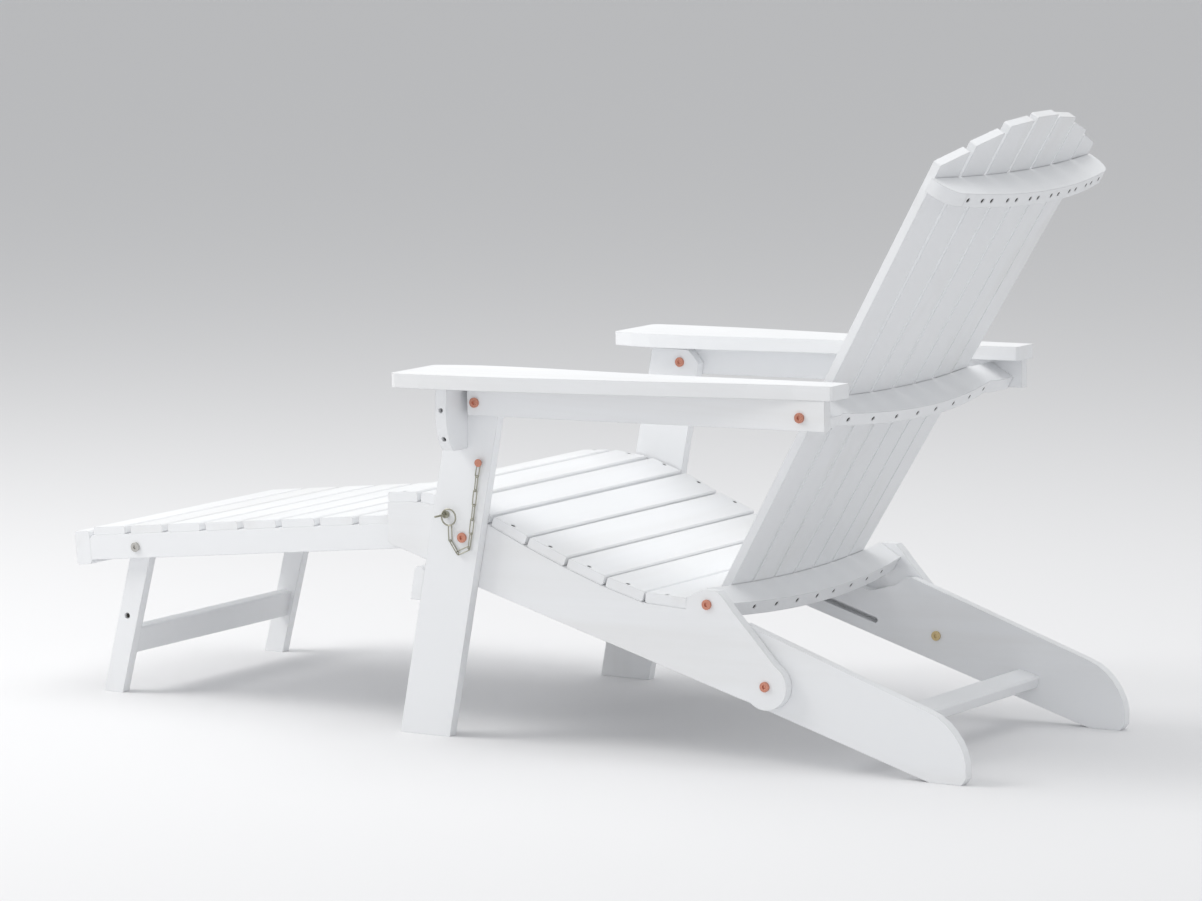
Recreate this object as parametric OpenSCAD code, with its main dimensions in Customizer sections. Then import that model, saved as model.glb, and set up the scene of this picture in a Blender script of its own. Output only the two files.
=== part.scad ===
// Folding adirondack chair with a pull-out ottoman.
// Millimetres. +Z is up, the chair faces -Y, and +X is the sitter's left.
// The origin is on the floor, at the middle of the chair's length and width.

/* [Boards] */
// Distance between the outside faces of the two seat rails
rail_w = 540; // [440:5:650]
// Thickness of the legs, rails and rear boards
board_t = 16; // [12:0.5:20]
// Thickness of a seat slat
slat_t = 15; // [10:0.5:20]
// Gap between neighbouring seat slats
slat_gap = 5; // [3:0.5:10]
// Side gap between boards that turn against each other
play = 0.5; // [0.3:0.1:1.5]

/* [Front legs] */
// Front-to-back width of a front leg, measured level
leg_w = 82; // [60:1:100]
// How far a leg leans back from the floor to its arm
leg_rake = 84.6; // [70:0.2:100]
// Height of the pivot between a leg and its arm
arm_height = 479; // [450:1:520]
// Height of the front stretcher
stretcher_h = 49; // [30:1:60]

/* [Arms] */
// Thickness of an armrest board
arm_t = 20; // [14:0.5:26]
// Half the width across the armrests at the front
arm_reach = 368; // [345:1:400]
// Height of the rail under an armrest
arm_rail_h = 42; // [34:1:46]

/* [Back] */
// Angle the back leans from upright, in degrees
recline = 30; // [27:0.5:33]
// Thickness of a back slat
back_t = 13; // [9:0.5:18]
// Half the width of the back at its foot
back_half_low = 195; // [170:1:205]
// Half the width of the back, measured at the fan length
back_half_high = 239; // [200:1:250]
// Gap between neighbouring back slats
back_gap = 6; // [3:0.5:12]
// Length of the middle back slat above the foot of the back
back_len = 775; // [640:5:940]
// Radius of the shallow curve the back slats lie on
back_r = 2150; // [1800:10:4000]

/* [Ottoman] */
// Thickness of an ottoman slat
ott_slat_t = 12; // [8:0.5:16]
// Slope of the ottoman, in degrees
ott_tilt = 6.1; // [4:0.1:8]

/* [Fasteners] */
// Radius of a pivot bolt
bolt_r = 4; // [3:0.25:5]
// Radius of a bolt head
head_r = 7; // [5:0.25:9]
// Radius of the sunk hole over a screw
sink_r = 3.5; // [2:0.25:4]
// Radial clearance of a shaft in its hole
fit = 0.06; // [0.02:0.01:0.1]

/* [Hidden] */

paint = [0.93, 0.93, 0.94];
copper = [0.72, 0.42, 0.33];
steel = [0.55, 0.54, 0.48];
dark = [0.15, 0.13, 0.12];

// Side positions, from the seat rails outwards and inwards
rail_x = rail_w / 2;
rail_in = rail_x - board_t;
board_x = rail_in - play;
board_in = board_x - board_t;
leg_in = rail_x + play;
leg_x = leg_in + board_t;
arm_in = leg_x + play;
arm_x = arm_in + board_t;
cross_end = leg_x;
edge = 2;
segments = 64;

// Pivots, as [y, z]
leg_pivot = [-37, 285];
leg_front_y = -141;
leg_lean = leg_rake / arm_height;
arm_pivot = [leg_front_y + leg_w / 2 + leg_rake + 9.4, arm_height];
pin_at = [-63, 316];
ring_at = [-54.7, 313.3];
anchor_at = [-7, 393];
hang_x = leg_x + 4;
ring_x = leg_x + 8;
lobe_at = [439, 112];

// Seat: the line under the slats, as [y, z] at each joint between slats
seat_line = [[-171, 323], [-120, 327], [-59, 321], [-4, 303], [55, 277.5],
    [119, 252.5], [182, 230.5], [246, 213], [313, 209.5]];

// Rear boards: lower edge and slot run parallel
board_slope = -0.305;
board_foot_y = 683;
board_front_y = -139;
board_front_h = 62;
slot_rise = 22;
slot_front_y = -129;
slot_back_y = 339;
slot_r = bolt_r + 0.1;
function board_low(y) = board_slope * (y - board_foot_y);

// Back: its own frame has x across, y out of the rear faces and z up the slats
back_base = [0, 342.6, 215.6];
fan_len = 750;
back_foot = -4;
low_h = -4;
low_t = 22;
mid_h = 311;
mid_t = 20;
top_h = back_len - 110;
top_t = 21;
back_pivot = [3, 5];
arm_end = [7, 321];
function back_half(h) = back_half_low + (back_half_high - back_half_low) * h / fan_len;
function bow(x) = -x * x / (2 * back_r);
// Drop of the outline below its peak at each joint between slats, outer side first
crown = [[67, 50], [38, 23], [11, 6], [1, 1], [6, 11], [23, 38], [50, 67]];

// A point of the back's frame as chair [y, z]
function back_yz(p) = [back_base[1] + p[0] * cos(recline) + p[1] * sin(recline),
    back_base[2] - p[0] * sin(recline) + p[1] * cos(recline)];
arm_rear_pivot = back_yz(arm_end);
arm_run = norm(arm_rear_pivot - arm_pivot);
arm_tilt = asin((arm_rear_pivot[1] - arm_pivot[1]) / arm_run);
arm_over = 24;

// Ottoman: its own frame starts at the lower front corner of the rails
ott_base = [0, -709, 196];
ott_rail_h = 36;
ott_len = 600;
ott_pitch = 66.5;
ott_slat_w = 56;
ott_rail_x = board_in - 1.5;
ott_half = ott_rail_x - 1;
ott_leg_x = ott_rail_x - board_t - play;
guide_at = [584.5, 11.6];
ott_pivot = [81.2, 16.5];
function ott_yz(p) = [ott_base[1] + p[0] * cos(ott_tilt) - p[1] * sin(ott_tilt),
    ott_base[2] + p[0] * sin(ott_tilt) + p[1] * cos(ott_tilt)];
ott_pivot_yz = ott_yz(ott_pivot);
guide_yz = [slot_front_y, board_low(slot_front_y) + slot_rise];
ott_leg_w = 33;
ott_leg_foot = -684;

// A board of thickness t whose side outline is drawn in y and z, from x upwards
module side_board(x, t) {
    translate([x, 0, 0]) rotate([90, 0, 90]) linear_extrude(t) children();
}

// A rod along x from x0 to x1, centred on at = [y, z]
module rod(at, r, x0, x1) {
    translate([x0, at[0], at[1]]) rotate([0, 90, 0]) cylinder(r = r, h = x1 - x0, $fn = segments);
}

module both_sides() {
    children();
    mirror([1, 0, 0]) children();
}

// Rectangle with its corners cut at 45 degrees
module cut_corners(w, h, c) {
    polygon([[c, 0], [w - c, 0], [w, c], [w, h - c], [w - c, h], [c, h], [0, h - c], [0, c]]);
}

// Bolt with a round head and a hexagonal socket; the head's underside is at x = seat
module bolt(at, seat, inner) {
    head_h = 3;
    socket_r = 3.2;
    socket_d = 2;
    difference() {
        union() {
            rod(at, bolt_r, inner, seat + head_h / 2);
            rod(at, head_r, seat, seat + head_h);
        }
        translate([seat + head_h - socket_d, at[0], at[1]]) rotate([0, 90, 0])
            cylinder(r = socket_r, h = socket_d + 1, $fn = 6);
    }
}

/* Seat frame */

rail_lower = [[426, 86], [400, 92], [-18, 213], [-104, 246], [-151, 260], [-163, 262],
    [-171, 268]];
rail_upper = [[316, 226], [340, 238], [364, 238], [376, 226], [388, 212], [460, 135.7],
    [448, 100], [430, 100]];

module seat_rail() {
    lobe_r = 33;
    difference() {
        union() {
            side_board(rail_in, board_t) polygon(concat(seat_line, rail_upper, rail_lower));
            rod(lobe_at, lobe_r, rail_in, rail_x);
        }
        rod(leg_pivot, bolt_r + fit, rail_in - 1, rail_x + 1);
        rod(back_yz(back_pivot), bolt_r + fit, rail_in - 1, rail_x + 1);
        rod(lobe_at, bolt_r + fit, rail_in - 1, rail_x + 1);
    }
}

module seat_rail_left() { color(paint) seat_rail(); }
module seat_rail_right() { color(paint) mirror([1, 0, 0]) seat_rail(); }

module rear_board() {
    slot_len = slot_back_y - slot_front_y;
    slot_angle = atan(board_slope);
    difference() {
        side_board(board_in, board_t) polygon([
            [board_front_y, board_low(board_front_y)], [board_foot_y, 0],
            [board_foot_y + 49, 0], [739, 9], [739, 30], [735, 45], [728, 59], [719, 71],
            [708, 82], [695, 91], [678, 98], [399, 193], [385, 191], [371, 180],
            [331, board_low(331) + board_front_h],
            [board_front_y, board_low(board_front_y) + board_front_h]]);
        side_board(board_in - 1, board_t + 2)
            translate(guide_yz) rotate(slot_angle) union() {
                translate([0, -slot_r]) square([slot_len / cos(slot_angle), 2 * slot_r]);
                circle(r = slot_r + 0.15, $fn = segments);
                translate([slot_len / cos(slot_angle), 0]) circle(r = slot_r + 0.15, $fn = segments);
            }
        rod(lobe_at, bolt_r + fit, board_in - 1, board_x + 1);
    }
}

module rear_board_left() { color(paint) rear_board(); }
module rear_board_right() { color(paint) mirror([1, 0, 0]) rear_board(); }

module rear_stretcher() {
    width = 36;
    height = 19;
    tilt = -14;
    color(paint) side_board(-board_in, 2 * board_in) translate([566, 57.5]) rotate(tilt)
        cut_corners(width, height, 3);
}

module seat_slat(i) {
    a = seat_line[i];
    b = seat_line[i + 1];
    run = norm(b - a);
    front = i == 0 ? 0 : slat_gap / 2;
    back = i == 7 ? 0 : slat_gap / 2;
    half = rail_x - 2;
    color(paint) difference() {
        side_board(-half, 2 * half) translate(a) rotate(atan2(b[1] - a[1], b[0] - a[0]))
            translate([front, 0]) cut_corners(run - front - back, slat_t, edge);
        slat_screw_places(i) cylinder(r = sink_r, h = slat_t, $fn = segments);
    }
}

// Places its children on both screws of a seat slat, z along the screw and 0 at the sunk head
module slat_screw_places(i) {
    sink = 2.5;
    a = seat_line[i];
    b = seat_line[i + 1];
    both_sides() translate([rail_in + board_t / 2, (a[0] + b[0]) / 2, (a[1] + b[1]) / 2])
        rotate([atan2(b[1] - a[1], b[0] - a[0]), 0, 0]) translate([0, 0, slat_t - sink]) children();
}

module seat_slat_1() { seat_slat(0); }
module seat_slat_2() { seat_slat(1); }
module seat_slat_3() { seat_slat(2); }
module seat_slat_4() { seat_slat(3); }
module seat_slat_5() { seat_slat(4); }
module seat_slat_6() { seat_slat(5); }
module seat_slat_7() { seat_slat(6); }
module seat_slat_8() { seat_slat(7); }

// Wood screw: head sunk by the caller, shank pointing down -z
module screw(length) {
    head_h = 1.5;
    shank_r = 1.6;
    cylinder(r = sink_r - 0.2, h = head_h, $fn = segments);
    translate([0, 0, -length]) cylinder(r = shank_r, h = length, $fn = segments);
}

module seat_screws() {
    color(dark) for (i = [0:7]) slat_screw_places(i) screw(24);
}

module frame_bolts() {
    cross_grip = 30;
    color(copper) both_sides() {
        bolt(lobe_at, rail_x, board_in);
        bolt(back_yz(back_pivot), rail_x, rail_in - play - cross_grip);
    }
}

// Round cap with a hexagonal socket that closes a bolt on the inside, its rim at x = face
module inner_cap(at, face) {
    cap_h = 2.6;
    gap = 0.05;
    socket_d = 1.6;
    difference() {
        rod(at, head_r, face - cap_h, face - gap);
        translate([face - cap_h - 1, at[0], at[1]]) rotate([0, 90, 0])
            cylinder(r = 3, h = socket_d + 1, $fn = 6);
    }
}

module lobe_nuts() {
    color(copper) both_sides() inner_cap(lobe_at, board_in);
}

/* Back */

module back_frame() {
    translate(back_base) rotate([-recline, 0, 0]) children();
}

// Slat i, counted from the left edge of the back (+X) to the right
module back_slat(i) {
    side = (3 - i) * 2 / 7;
    low = side * back_half(0);
    high = side * back_half(fan_len);
    w_low = (back_half(0) * 2 / 7 - back_gap * 0.8) / 2;
    w_high = (back_half(fan_len) * 2 / 7 - back_gap * 1.2) / 2;
    grow = (w_high - w_low) / fan_len;
    outer = back_len - crown[i][0];
    inner = back_len - crown[i][1];
    splay = atan((high - low) / fan_len);
    lean = atan((bow(high) - bow(low)) / fan_len);
    turn = -atan(bow(low + 1) - bow(low));
    lift = 1;
    color(paint) back_frame() translate([low, bow(low) - lift, 0]) rotate([-lean, splay, 0])
        rotate([0, 0, -turn]) rotate([90, 0, 0]) linear_extrude(back_t)
            polygon([[-w_low, back_foot], [w_low, back_foot],
                [w_low + grow * outer, outer - 2], [w_low + grow * outer - 2, outer],
                [-w_low - grow * inner + 2, inner], [-w_low - grow * inner, inner - 2]]);
}

module back_slat_1() { back_slat(0); }
module back_slat_2() { back_slat(1); }
module back_slat_3() { back_slat(2); }
module back_slat_4() { back_slat(3); }
module back_slat_5() { back_slat(4); }
module back_slat_6() { back_slat(5); }
module back_slat_7() { back_slat(6); }

// Plan of a cross-piece: front edge follows the slats, rear edge is an arc
module cross_plan(half, reach, rear_r) {
    intersection() {
        difference() {
            translate([-half, -60]) square([2 * half, 160]);
            translate([0, -back_r]) circle(r = back_r, $fn = 720);
        }
        translate([0, reach - rear_r]) circle(r = rear_r, $fn = 360);
    }
}

top_reach = 49.8;
top_r = 1100;
mid_reach = 48;
mid_r = 1170;
low_reach = 45;
low_r = 1500;

module top_cross() {
    half = 240;
    corner = 34;
    color(paint) difference() {
        back_frame() translate([0, 0, top_h]) linear_extrude(top_t) difference() {
            cross_plan(half, top_reach, top_r);
            both_sides() translate([half - corner, 30 - corner]) difference() {
                square([corner + 2, corner + 20]);
                circle(r = corner, $fn = 120);
            }
        }
        top_screw_places() cylinder(r = sink_r, h = 30, $fn = segments);
    }
}

module mid_cross() {
    end_from = rail_in - 32;
    end_front = -10;
    end_back = 30;
    color(paint) difference() {
        back_frame() translate([0, 0, mid_h]) {
            linear_extrude(mid_t) cross_plan(end_from, mid_reach, mid_r);
            both_sides() linear_extrude(mid_t) polygon([[end_from - 30, 5], [end_from - 12, end_back - 6],
                [end_from + 8, end_back - 1], [end_from + 24, end_back], [cross_end, end_back],
                [cross_end, end_front], [end_from - 2, end_front], [end_from - 12, 0]]);
        }
        mid_screw_places() cylinder(r = sink_r, h = 30, $fn = segments);
    }
}

module low_cross() {
    half = rail_in - play;
    pivot = back_yz(back_pivot);
    color(paint) difference() {
        back_frame() translate([0, 0, low_h]) linear_extrude(low_t)
            cross_plan(half, low_reach, low_r);
        both_sides() rod(pivot, bolt_r + fit, rail_in - 40, rail_x);
        low_screw_places() cylinder(r = sink_r, h = 30, $fn = segments);
    }
}

// Places children on a screw that enters a rear edge at x, z pointing out of the edge
module edge_screw(x, h, reach, rear_r) {
    sink = 2.5;
    back_frame() translate([x, reach - x * x / (2 * rear_r) - sink, h]) rotate([-90, 0, 0])
        children();
}

module top_screw_places() {
    both_sides() for (x = [20, 43, 81, 104, 144, 166, 199])
        edge_screw(x, top_h + top_t / 2, top_reach, top_r) children();
}

module mid_screw_places() {
    both_sides() for (x = [27, 85, 144, 202])
        edge_screw(x, mid_h + mid_t / 2, mid_reach, mid_r) children();
}

module low_screw_places() {
    both_sides() for (x = [24, 79, 133, 187])
        edge_screw(x, low_h + low_t * 0.6, low_reach, low_r) children();
}

module back_screws() {
    color(dark) {
        top_screw_places() screw(45);
        mid_screw_places() screw(42);
        low_screw_places() screw(40);
    }
}

/* Front legs */

// Side outline of a leg; the rear top corner is cut back so that the armrest clears it
module leg_outline() {
    above = 19;
    top = arm_height + above;
    rear = leg_front_y + leg_w;
    polygon([[leg_front_y, 0], [rear, 0], [rear + leg_lean * (arm_height - 1), arm_height - 1],
        [arm_pivot[0] + 24.5, arm_height + 8], [arm_pivot[0] + 17, arm_height + 15.7],
        [arm_pivot[0] + 13, top], [leg_front_y + leg_lean * top, top]]);
}

module front_leg() {
    difference() {
        side_board(leg_in, board_t) leg_outline();
        rod(leg_pivot, bolt_r + fit, leg_in - 1, leg_x + 1);
        rod(arm_pivot, bolt_r + fit, leg_in - 1, leg_x + 1);
        rod(pin_at, pin_r + fit, leg_in - 1, leg_x + 1);
    }
}

module front_leg_left() { color(paint) front_leg(); }
module front_leg_right() { color(paint) mirror([1, 0, 0]) front_leg(); }

// Board across the front edges of both legs, leaning with them
module front_stretcher() {
    z0 = 191;
    top = z0 + stretcher_h - 1;
    ease = 6;
    rear_y = leg_front_y + leg_lean * top;
    color(paint) side_board(-leg_x, 2 * leg_x) polygon([
        [leg_front_y + leg_lean * z0 - board_t, z0], [leg_front_y + leg_lean * z0, z0],
        [rear_y - leg_lean * ease, top - ease], [rear_y - ease, top],
        [rear_y - board_t + ease - 2, top], [rear_y - leg_lean * ease - board_t, top - ease + 2]]);
}

// Bracket under the armrest; its profile is drawn in x and z
corbel_y = -46;
corbel_t = 18;
module corbel() {
    top = arm_pivot[1] + arm_over - 1.6;
    translate([leg_x, corbel_y + corbel_t, 0]) rotate([90, 0, 0]) linear_extrude(corbel_t)
        polygon([[0, 412], [36, 412], [41, 417], [46, 425], [50, 434], [53, 444], [55, 456],
            [56, 470], [56, 488], [55, top], [0, top]]);
}

module corbel_left() {
    color(paint) difference() {
        corbel();
        corbel_screw_places() cylinder(r = sink_r, h = 30, $fn = segments);
    }
}
module corbel_right() {
    color(paint) mirror([1, 0, 0]) difference() {
        corbel();
        corbel_screw_places() cylinder(r = sink_r, h = 30, $fn = segments);
    }
}

module corbel_screw_places() {
    for (p = [[39, 429], [46, 470]]) translate([leg_x + p[0], corbel_y + corbel_t / 2, p[1]])
        rotate([0, 90, 0]) children();
}

module leg_screws() {
    color(dark) both_sides() {
        corbel_screw_places() screw(50);
    }
}

module leg_bolts() {
    shank_r = 1.4;
    cap_r = 5.5;
    color(copper) both_sides() {
        bolt(leg_pivot, leg_x, rail_in);
        rod(anchor_at, shank_r, leg_in + 2, hang_x + 1.5);
        rod(anchor_at, cap_r, hang_x + 1, hang_x + 3);
    }
}

/* Lock pins and their chains */

pin_r = 3.2;
ring_r = 11.5;
ring_wire = 1.1;

module lock_pin() {
    collar_r = 5;
    collar_h = 4.5;
    stem_r = 1.5;
    stem_end = 30;
    color(steel) {
        rod(pin_at, pin_r, leg_in, leg_x + 1);
        rod(pin_at, collar_r, leg_x + 0.2, leg_x + collar_h);
        rod(pin_at, stem_r, leg_x + collar_h - 1, leg_x + stem_end);
        translate([ring_x, ring_at[0], ring_at[1]]) rotate([0, 90, 0])
            rotate_extrude($fn = segments) translate([ring_r, 0]) circle(r = ring_wire, $fn = 16);
    }
}

module lock_pin_left() { lock_pin(); }
module lock_pin_right() { mirror([1, 0, 0]) lock_pin(); }

// Links run from joint to joint; each is longer than that by the slack and its own wire
link_step = 20.6;
link_wire = 1.6;
link_slack = 1.4;
link_wide = 7;
chain_start = [-6.8, 394];
// Direction of each link, from the anchor down and up again to the ring, in degrees
chain_dirs = [-100, -97, -97, -97, -97, -99, -155, -235, -268];
function chain_at(i) = i == 0 ? chain_start
    : chain_at(i - 1) + link_step * [cos(chain_dirs[i - 1]), sin(chain_dirs[i - 1])];

// Ring with straight sides, lying in the xy plane with its length along x
module link(length) {
    half = length / 2;
    side = link_wide / 2;
    w = link_wire;
    linear_extrude(w, center = true) difference() {
        polygon([[-half, -side + 2], [-half + 2, -side], [half - 2, -side], [half, -side + 2],
            [half, side - 2], [half - 2, side], [-half + 2, side], [-half, side - 2]]);
        polygon([[-half + w, -side + w + 0.6], [-half + w + 0.6, -side + w], [half - w - 0.6, -side + w],
            [half - w, -side + w + 0.6], [half - w, side - w - 0.6], [half - w - 0.6, side - w],
            [-half + w + 0.6, side - w], [-half + w, side - w - 0.6]]);
    }
}

module pin_chain() {
    full = link_step + 2 * link_slack + link_wire;
    for (i = [0:8]) {
        middle = (chain_at(i) + chain_at(i + 1)) / 2;
        translate([hang_x, middle[0], middle[1]]) rotate([90, 0, 90]) rotate(chain_dirs[i])
            rotate([i % 2 == 0 ? 0 : 90, 0, 0]) link(full);
    }
}

module pin_chains() {
    color(steel) both_sides() pin_chain();
}

/* Arms */

// The arm's own frame: y along the arm from the front pivot, z square to it
module arm_frame() {
    translate([0, arm_pivot[0], arm_pivot[1]]) rotate([arm_tilt, 0, 0]) children();
}

module arm_rail() {
    front = -12;
    tail = 38;
    arm_frame() difference() {
        side_board(arm_in, board_t) translate([front, arm_over - arm_rail_h])
            square([arm_run + tail - front, arm_rail_h]);
        rod([0, 0], bolt_r + fit, arm_in - 1, arm_x + 1);
        rod([arm_run, 0], bolt_r + fit, arm_in - 1, arm_x + 1);
    }
}

module arm_rail_left() { color(paint) arm_rail(); }
module arm_rail_right() { color(paint) mirror([1, 0, 0]) arm_rail(); }

module armrest() {
    w = arm_reach;
    b = arm_in - 40;
    arm_frame() translate([0, 0, arm_over]) linear_extrude(arm_t) polygon([
        [b + 3, -96], [b + 6, -99], [w - 9, -99], [w - 3, -96], [w - 1, -90], [w, -50], [w - 1, -10],
        [w - 3, 40], [w - 7, 85], [w - 13, 135], [w - 20, 190], [w - 28, 250], [w - 36, 310],
        [w - 46, 375], [w - 56, 440], [w - 63, 505], [w - 65, 562], [w - 68, 565],
        [b + 8, 565], [b + 5, 562], [b + 5, 330], [b + 3, 270], [b - 1, 200], [b - 6, 140],
        [b - 11, 80], [b - 14, 20], [b - 13, -30], [b - 7, -65]]);
}

module armrest_left() { color(paint) armrest(); }
module armrest_right() { color(paint) mirror([1, 0, 0]) armrest(); }

module arm_bolts() {
    arm_frame() {
        bolt([0, 0], arm_x, leg_in);
        inner_cap([0, 0], leg_in);
        bolt([arm_run, 0], arm_x, arm_in);
    }
}

module arm_bolts_left() { color(copper) arm_bolts(); }
module arm_bolts_right() { color(copper) mirror([1, 0, 0]) arm_bolts(); }

/* Ottoman */

module ott_frame() {
    translate(ott_base) rotate([ott_tilt, 0, 0]) children();
}

module ott_rail() {
    difference() {
        ott_frame() side_board(ott_rail_x - board_t, board_t)
            polygon([[0, 0], [ott_len - 8, 0], [ott_len, 8], [ott_len, ott_rail_h - 12],
                [ott_len - 12, ott_rail_h], [5, ott_rail_h], [0, ott_rail_h - 5]]);
        rod(guide_yz, bolt_r + fit, ott_rail_x - board_t - 1, ott_rail_x + 1);
        rod(ott_pivot_yz, bolt_r + fit, ott_rail_x - board_t - 1, ott_rail_x + 1);
    }
}

module ott_rail_left() { color(paint) ott_rail(); }
module ott_rail_right() { color(paint) mirror([1, 0, 0]) ott_rail(); }

module ott_slat(i) {
    color(paint) ott_frame() side_board(-ott_half, 2 * ott_half)
        translate([8 + i * ott_pitch, ott_rail_h])
            cut_corners(ott_slat_w, ott_slat_t, edge);
}

module ott_slat_1() { ott_slat(0); }
module ott_slat_2() { ott_slat(1); }
module ott_slat_3() { ott_slat(2); }
module ott_slat_4() { ott_slat(3); }
module ott_slat_5() { ott_slat(4); }
module ott_slat_6() { ott_slat(5); }
module ott_slat_7() { ott_slat(6); }
module ott_slat_8() { ott_slat(7); }

// Board across the front ends of the ottoman rails
module ott_cap() {
    height = 49;
    thick = 26;
    color(paint) ott_frame() side_board(-ott_half - 1, 2 * ott_half + 2)
        translate([-thick, -6]) cut_corners(thick, height, 3);
}

module ott_bolts() {
    color(steel) both_sides() bolt(ott_pivot_yz, ott_rail_x, ott_leg_x - board_t);
}

module guide_pins() {
    head = 2;
    color(steel) both_sides() {
        rod(guide_yz, bolt_r, ott_rail_x - board_t, board_x - 1);
        rod(guide_yz, head_r, ott_rail_x - board_t - head, ott_rail_x - board_t - 0.1);
    }
}

module ott_leg_outline() {
    lean = (ott_pivot_yz[0] - ott_leg_foot) / ott_pivot_yz[1];
    half = ott_leg_w / 2;
    polygon([[ott_leg_foot - half, 0], [ott_leg_foot + half, 0],
        [ott_pivot_yz[0] + half - 0.4, ott_pivot_yz[1] - 4],
        [ott_pivot_yz[0] - half + 0.4, ott_pivot_yz[1] + 4]]);
    translate(ott_pivot_yz) circle(r = half, $fn = segments);
}

module ott_leg() {
    mark = [-658, 115];
    difference() {
        side_board(ott_leg_x - board_t, board_t) ott_leg_outline();
        rod(ott_pivot_yz, bolt_r + fit, ott_leg_x - board_t - 1, ott_leg_x + 1);
        rod(mark, sink_r + 1, ott_leg_x - 4, ott_leg_x + 1);
    }
}

module ott_leg_left() { color(paint) ott_leg(); }
module ott_leg_right() { color(paint) mirror([1, 0, 0]) ott_leg(); }

module ott_leg_bar() {
    lean = atan((ott_pivot_yz[0] - ott_leg_foot) / ott_pivot_yz[1]);
    half = ott_leg_x - board_t;
    color(paint) side_board(-half, 2 * half) translate([-668, 58]) rotate(-lean)
        translate([-8, 0]) cut_corners(16, 40, 2);
}

module ott_leg_screws() {
    mark = [-658, 115];
    color(dark) both_sides() translate([ott_leg_x - 4, mark[0], mark[1]]) rotate([0, 90, 0])
        screw(11);
}

seat_rail_left();
seat_rail_right();
rear_board_left();
rear_board_right();
rear_stretcher();
seat_slat_1();
seat_slat_2();
seat_slat_3();
seat_slat_4();
seat_slat_5();
seat_slat_6();
seat_slat_7();
seat_slat_8();
seat_screws();
frame_bolts();
lobe_nuts();
back_slat_1();
back_slat_2();
back_slat_3();
back_slat_4();
back_slat_5();
back_slat_6();
back_slat_7();
top_cross();
mid_cross();
low_cross();
back_screws();
front_leg_left();
front_leg_right();
front_stretcher();
corbel_left();
corbel_right();
leg_screws();
leg_bolts();
pin_chains();
lock_pin_left();
lock_pin_right();
armrest_left();
armrest_right();
arm_rail_left();
arm_rail_right();
arm_bolts_left();
arm_bolts_right();
ott_rail_left();
ott_rail_right();
ott_cap();
ott_slat_1();
ott_slat_2();
ott_slat_3();
ott_slat_4();
ott_slat_5();
ott_slat_6();
ott_slat_7();
ott_slat_8();
ott_bolts();
guide_pins();
ott_leg_left();
ott_leg_right();
ott_leg_bar();
ott_leg_screws();
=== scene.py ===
"""Looks for the white folding adirondack chair with its pull-out ottoman.

Metres, in the chair's own frame.
"""

import math

import bpy
from mathutils import Matrix, Vector


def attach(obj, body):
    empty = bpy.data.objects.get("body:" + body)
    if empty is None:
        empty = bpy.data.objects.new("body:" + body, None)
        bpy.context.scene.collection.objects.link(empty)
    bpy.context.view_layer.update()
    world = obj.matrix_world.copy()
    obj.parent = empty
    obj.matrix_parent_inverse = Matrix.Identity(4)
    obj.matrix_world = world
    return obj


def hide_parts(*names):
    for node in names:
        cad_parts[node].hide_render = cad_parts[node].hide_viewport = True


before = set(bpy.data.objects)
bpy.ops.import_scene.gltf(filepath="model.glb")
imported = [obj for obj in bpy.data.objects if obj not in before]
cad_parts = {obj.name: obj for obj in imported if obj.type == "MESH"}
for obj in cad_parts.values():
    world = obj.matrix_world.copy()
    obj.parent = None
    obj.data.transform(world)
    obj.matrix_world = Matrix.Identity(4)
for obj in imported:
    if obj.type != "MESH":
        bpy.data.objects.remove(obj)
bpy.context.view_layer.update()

# ---------- node helpers ----------


def new_material(name):
    mat = bpy.data.materials.new(name)
    mat.use_nodes = True
    tree = mat.node_tree
    shader = tree.nodes["Principled BSDF"]
    return mat, tree, shader


def add(tree, kind, **inputs):
    """Adds a shader node and sets the inputs that are named."""
    made = tree.nodes.new(kind)
    for key, value in inputs.items():
        made.inputs[key.replace("_", " ")].default_value = value
    return made


def mapped(tree, scale, turn=(0, 0, 0)):
    """Object coordinates, turned and stretched, for a texture to follow."""
    where = tree.nodes.new("ShaderNodeTexCoord")
    shift = tree.nodes.new("ShaderNodeMapping")
    shift.inputs["Rotation"].default_value = turn
    shift.inputs["Scale"].default_value = scale
    tree.links.new(where.outputs["Object"], shift.inputs["Vector"])
    return shift.outputs["Vector"]


def ramp(tree, source, low, high, low_value, high_value):
    made = tree.nodes.new("ShaderNodeMapRange")
    made.inputs["From Min"].default_value = low
    made.inputs["From Max"].default_value = high
    made.inputs["To Min"].default_value = low_value
    made.inputs["To Max"].default_value = high_value
    tree.links.new(source, made.inputs["Value"])
    return made.outputs["Result"]


# ---------- painted wood ----------

PAINT = (0.86, 0.87, 0.885)
PAINT_THIN = (0.80, 0.80, 0.80)
EDGE_ROUND = 0.0016
GRAIN_DEPTH = 0.00022
BRUSH_DEPTH = 0.00006


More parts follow.
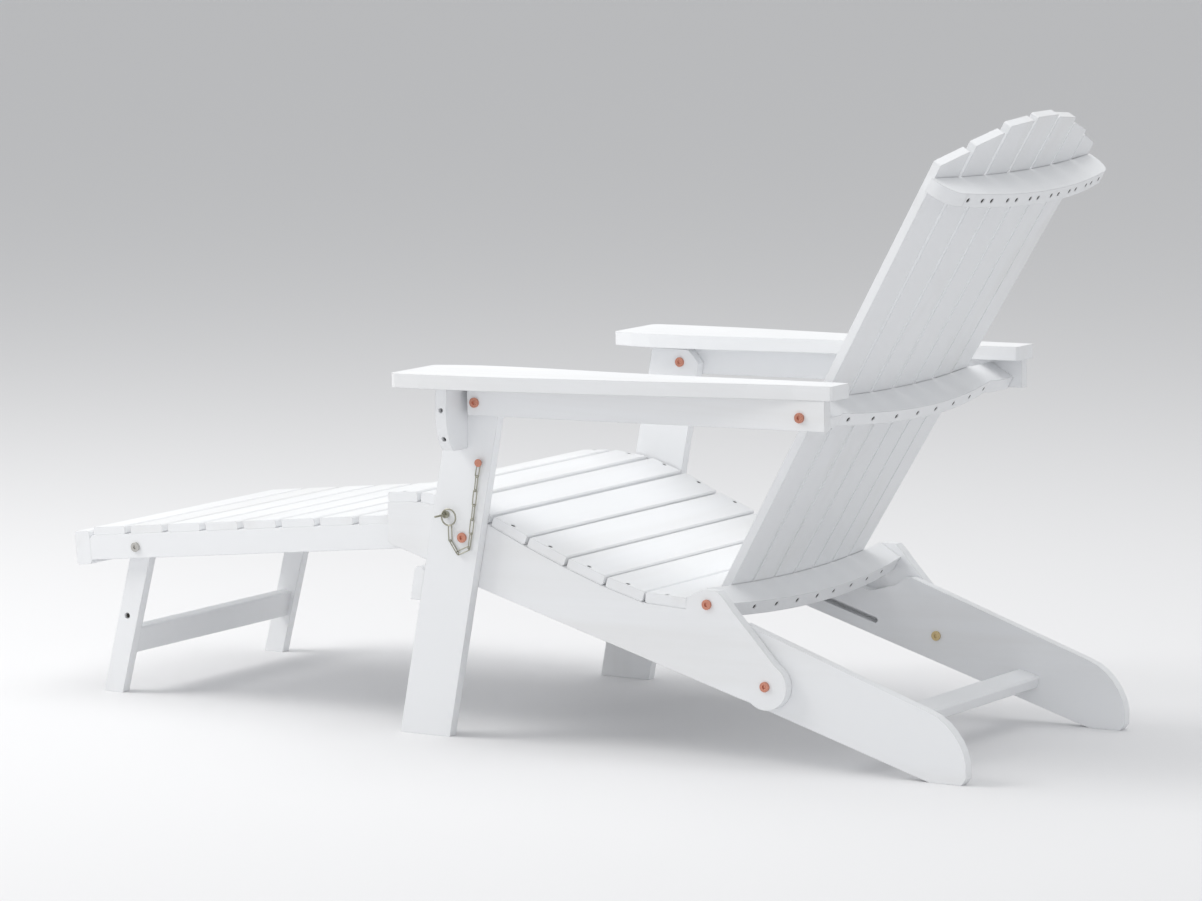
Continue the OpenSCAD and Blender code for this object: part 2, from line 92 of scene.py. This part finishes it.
def painted_wood(name, stretch, turn=(0, 0, 0)):
    """White paint over wood. The grain runs along the axis with the small stretch value."""
    mat, tree, shader = new_material(name)
    link = tree.links.new
    vector = mapped(tree, stretch, turn)

    grain = add(tree, "ShaderNodeTexNoise",
                Scale=9.0, Detail=7.0, Roughness=0.62, Distortion=0.35)
    pores = add(tree, "ShaderNodeTexNoise", Scale=42.0, Detail=4.0, Roughness=0.7)
    patches = add(tree, "ShaderNodeTexNoise", Scale=5.0, Detail=2.0)
    for texture in (grain, pores):
        link(vector, texture.inputs["Vector"])
    link(mapped(tree, (1, 1, 1)), patches.inputs["Vector"])

    colour = tree.nodes.new("ShaderNodeMix")
    colour.data_type = "RGBA"
    colour.inputs["A"].default_value = (*PAINT_THIN, 1)
    colour.inputs["B"].default_value = (*PAINT, 1)
    link(ramp(tree, grain.outputs["Fac"], 0.32, 0.5, 0.35, 1.0), colour.inputs["Factor"])
    link(colour.outputs["Result"], shader.inputs["Base Color"])
    link(ramp(tree, patches.outputs["Fac"], 0.3, 0.7, 0.40, 0.52), shader.inputs["Roughness"])
    shader.inputs["Specular IOR Level"].default_value = 0.42
    shader.inputs["Coat Weight"].default_value = 0.08
    shader.inputs["Coat Roughness"].default_value = 0.35

    rounded = add(tree, "ShaderNodeBevel", Radius=EDGE_ROUND)
    rounded.samples = 6
    coarse = add(tree, "ShaderNodeBump", Strength=0.55, Distance=GRAIN_DEPTH)
    fine = add(tree, "ShaderNodeBump", Strength=0.5, Distance=BRUSH_DEPTH)
    link(rounded.outputs["Normal"], coarse.inputs["Normal"])
    link(grain.outputs["Fac"], coarse.inputs["Height"])
    link(coarse.outputs["Normal"], fine.inputs["Normal"])
    link(pores.outputs["Fac"], fine.inputs["Height"])
    link(fine.outputs["Normal"], shader.inputs["Normal"])
    return mat


# ---------- metals ----------


METAL_WORN = 0.24
METAL_RELIEF = 0.00004
METAL_EDGE_ROUND = 0.0005


def metal(name, colour, roughness):
    mat, tree, shader = new_material(name)
    link = tree.links.new
    spots = add(tree, "ShaderNodeTexNoise", Scale=900.0, Detail=3.0, Roughness=0.6)
    link(mapped(tree, (1, 1, 1)), spots.inputs["Vector"])
    mix = tree.nodes.new("ShaderNodeMix")
    mix.data_type = "RGBA"
    mix.inputs["A"].default_value = (*[c * (1 - METAL_WORN) for c in colour], 1)
    mix.inputs["B"].default_value = (*colour, 1)
    link(spots.outputs["Fac"], mix.inputs["Factor"])
    link(mix.outputs["Result"], shader.inputs["Base Color"])
    shader.inputs["Metallic"].default_value = 1.0
    uneven = ramp(tree, spots.outputs["Fac"], 0.3, 0.7, roughness - 0.06, roughness + 0.1)
    link(uneven, shader.inputs["Roughness"])
    rounded = add(tree, "ShaderNodeBevel", Radius=METAL_EDGE_ROUND)
    relief = add(tree, "ShaderNodeBump", Strength=0.3, Distance=METAL_RELIEF)
    link(rounded.outputs["Normal"], relief.inputs["Normal"])
    link(spots.outputs["Fac"], relief.inputs["Height"])
    link(relief.outputs["Normal"], shader.inputs["Normal"])
    return mat


copper = metal("copper", (0.72, 0.33, 0.24), 0.28)
brass = metal("brass", (0.70, 0.55, 0.30), 0.30)
silver = metal("silver", (0.62, 0.61, 0.58), 0.32)
chain_steel = metal("chain steel", (0.46, 0.45, 0.37), 0.34)
# Painted shade: the screw heads are near-black so that they stand for the shadow inside their
# sunk recesses.
screw_recess_shade = metal("screw heads, painted recess shade", (0.06, 0.055, 0.05), 0.55)

GRAIN_STRETCH = 0.08
LEG_LEAN = math.radians(10)
BACK_LEAN = math.radians(30)
BOARD_SLOPE = math.radians(17)

along_x = painted_wood("paint, grain along x", (GRAIN_STRETCH, 1, 1))
along_y = painted_wood("paint, grain along y", (1, GRAIN_STRETCH, 1))
legs_paint = painted_wood("paint, grain up the legs", (1, 1, GRAIN_STRETCH), (LEG_LEAN, 0, 0))
back_paint = painted_wood("paint, grain up the back", (1, 1, GRAIN_STRETCH), (BACK_LEAN, 0, 0))
board_paint = painted_wood("paint, grain along the sloping boards",
                           (1, GRAIN_STRETCH, 1), (BOARD_SLOPE, 0, 0))

# Each material with the starts of the node names that wear it
MATERIALS = {
    "along_x": (along_x, ("seat_slat", "rear_stretcher", "top_cross", "mid_cross", "low_cross",
                          "front_stretcher", "ott_slat", "ott_cap", "ott_leg_bar")),
    "boards": (board_paint, ("seat_rail", "rear_board")),
    "level": (along_y, ("armrest", "arm_rail", "ott_rail")),
    "back": (back_paint, ("back_slat",)),
    "legs": (legs_paint, ("front_leg", "ott_leg_left", "ott_leg_right", "corbel")),
    "copper": (copper, ("frame_bolts", "leg_bolts", "arm_bolts")),
    "brass": (brass, ("lobe_nuts",)),
    "silver": (silver, ("ott_bolts", "guide_pins")),
    "steel": (chain_steel, ("lock_pin", "pin_chains")),
    # the sunk screws wear the near-black painted recess shade
    "dark": (screw_recess_shade, ("seat_screws", "back_screws", "leg_screws", "ott_leg_screws")),
}


def material_of(node):
    """The material of the longest name that the node's own name starts with."""
    found = [(len(start), mat) for mat, starts in MATERIALS.values()
             for start in starts if node.startswith(start)]
    return max(found, key=lambda pair: pair[0])[1]


for name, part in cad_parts.items():
    part.data.materials.clear()
    part.data.materials.append(material_of(name))

# ---------- round-wire chains ----------

CHAIN_X = 0.2905
CHAIN_START = (-0.0068, 0.394)
LINK_STEP = 0.0206
LINK_SLACK = 0.0014
LINK_WIRE = 0.0016
LINK_WIDE = 0.0070
ROUND_STEPS = 10
WIRE_STEPS = 10
# Direction of each link down the chain, in degrees
LINK_TURNS = [-100, -97, -97, -97, -97, -99, -155, -235, -268]


def link_mesh(name, length, place):
    """A long chain link of round wire, its length along x, set down by a matrix."""
    straight = (length - LINK_WIDE) / 2
    bend = LINK_WIDE / 2 - LINK_WIRE / 2
    path = []
    for side, centre in ((1, straight), (-1, -straight)):
        for k in range(ROUND_STEPS + 1):
            a = -math.pi / 2 + math.pi * k / ROUND_STEPS
            if side < 0:
                a += math.pi
            path.append((Vector((centre + bend * math.cos(a), bend * math.sin(a), 0)),
                         Vector((math.cos(a), math.sin(a), 0))))
    verts, faces = [], []
    for point, outward in path:
        for k in range(WIRE_STEPS):
            b = 2 * math.pi * k / WIRE_STEPS
            offset = outward * math.cos(b) + Vector((0, 0, 1)) * math.sin(b)
            verts.append(place @ (point + offset * LINK_WIRE / 2))
    rings = len(path)
    for i in range(rings):
        for k in range(WIRE_STEPS):
            j = (i + 1) % rings
            n = (k + 1) % WIRE_STEPS
            faces.append((i * WIRE_STEPS + k, j * WIRE_STEPS + k,
                          j * WIRE_STEPS + n, i * WIRE_STEPS + n))
    mesh = bpy.data.meshes.new(name)
    mesh.from_pydata([tuple(v) for v in verts], [], faces)
    for polygon in mesh.polygons:
        polygon.use_smooth = True
    mesh.materials.append(chain_steel)
    made = bpy.data.objects.new(name, mesh)
    bpy.context.scene.collection.objects.link(made)
    return made


def link_place(y, z, angle, turned):
    """Puts a link in the plane of the leg, or turned about its own length."""
    into_side = Matrix(((0, 0, 1, 0), (1, 0, 0, 0), (0, 1, 0, 0), (0, 0, 0, 1)))
    place = Matrix.Translation((CHAIN_X, y, z)) @ into_side
    place = place @ Matrix.Rotation(math.radians(angle), 4, "Z")
    return place @ Matrix.Rotation(math.radians(90), 4, "X") if turned else place


def side_name(side):
    return "left" if side > 0 else "right"


def chain(side):
    """One hanging chain; side is 1 for the left leg and -1 for the right."""
    flip = Matrix.Scale(side, 4, (1, 0, 0))
    links = []
    y, z = CHAIN_START
    for k, turn in enumerate(LINK_TURNS):
        a = math.radians(turn)
        ny, nz = y + LINK_STEP * math.cos(a), z + LINK_STEP * math.sin(a)
        place = link_place((y + ny) / 2, (z + nz) / 2, turn, k % 2 == 1)
        full = LINK_STEP + 2 * LINK_SLACK + LINK_WIRE
        links.append(link_mesh(f"chain_link_{side_name(side)}_{k + 1}", full, flip @ place))
        y, z = ny, nz
    return links


for side in (1, -1):
    for made in chain(side):
        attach(made, "front_legs")
        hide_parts("pin_chains")

# ---------- floor, light and camera ----------

FLOOR_SIZE = 60.0


def stage_material(name, colour, roughness):
    mat, _, shader = new_material(name)
    shader.inputs["Base Color"].default_value = (*colour, 1)
    shader.inputs["Roughness"].default_value = roughness
    shader.inputs["Specular IOR Level"].default_value = 0.2
    return mat


bpy.ops.mesh.primitive_plane_add(size=FLOOR_SIZE, location=(0, 0, 0))
floor = bpy.context.active_object
floor.name = "floor"
floor.data.materials.append(stage_material("pale floor", (0.80, 0.80, 0.81), 0.75))


def area_light(name, where, aim, size, power, colour=(1, 1, 1)):
    data = bpy.data.lights.new(name, "AREA")
    data.shape = "RECTANGLE"
    data.size, data.size_y = size
    data.energy = power
    data.color = colour
    lamp = bpy.data.objects.new(name, data)
    lamp.location = where
    lamp.rotation_mode = "QUATERNION"
    lamp.rotation_quaternion = (Vector(aim) - Vector(where)).to_track_quat("-Z", "Y")
    bpy.context.scene.collection.objects.link(lamp)


CHAIR_MIDDLE = (0, 0, 0.4)
area_light("key", (1.6, -3.2, 3.4), CHAIR_MIDDLE, (2.2, 2.2), 105, (1.0, 0.99, 0.97))
area_light("top", (-0.4, 0.3, 4.2), CHAIR_MIDDLE, (3.5, 3.5), 60)
area_light("side fill", (4.5, 3.0, 1.8), CHAIR_MIDDLE, (3.0, 2.4), 20, (0.97, 0.98, 1.0))

world = bpy.data.worlds.new("studio")
bpy.context.scene.world = world
world.use_nodes = True
background = world.node_tree.nodes["Background"]
background.inputs["Color"].default_value = (0.96, 0.97, 0.98, 1)
background.inputs["Strength"].default_value = 0.62

camera_data = bpy.data.cameras.new("camera")
camera_data.sensor_width = 36.0
camera_data.lens = 177.5
camera_data.clip_end = 200.0
camera = bpy.data.objects.new("camera", camera_data)
camera.location = (7.2536, 4.3118, 1.4776)
camera.rotation_mode = "QUATERNION"
look_at = Vector((0, 0.0190, 0.3795))
camera.rotation_quaternion = (look_at - camera.location).to_track_quat("-Z", "Y")
bpy.context.scene.collection.objects.link(camera)
bpy.context.scene.camera = camera

bpy.context.scene.view_settings.view_transform = "Standard"
bpy.context.scene.view_settings.look = "None"
bpy.context.scene.view_settings.exposure = 0.0
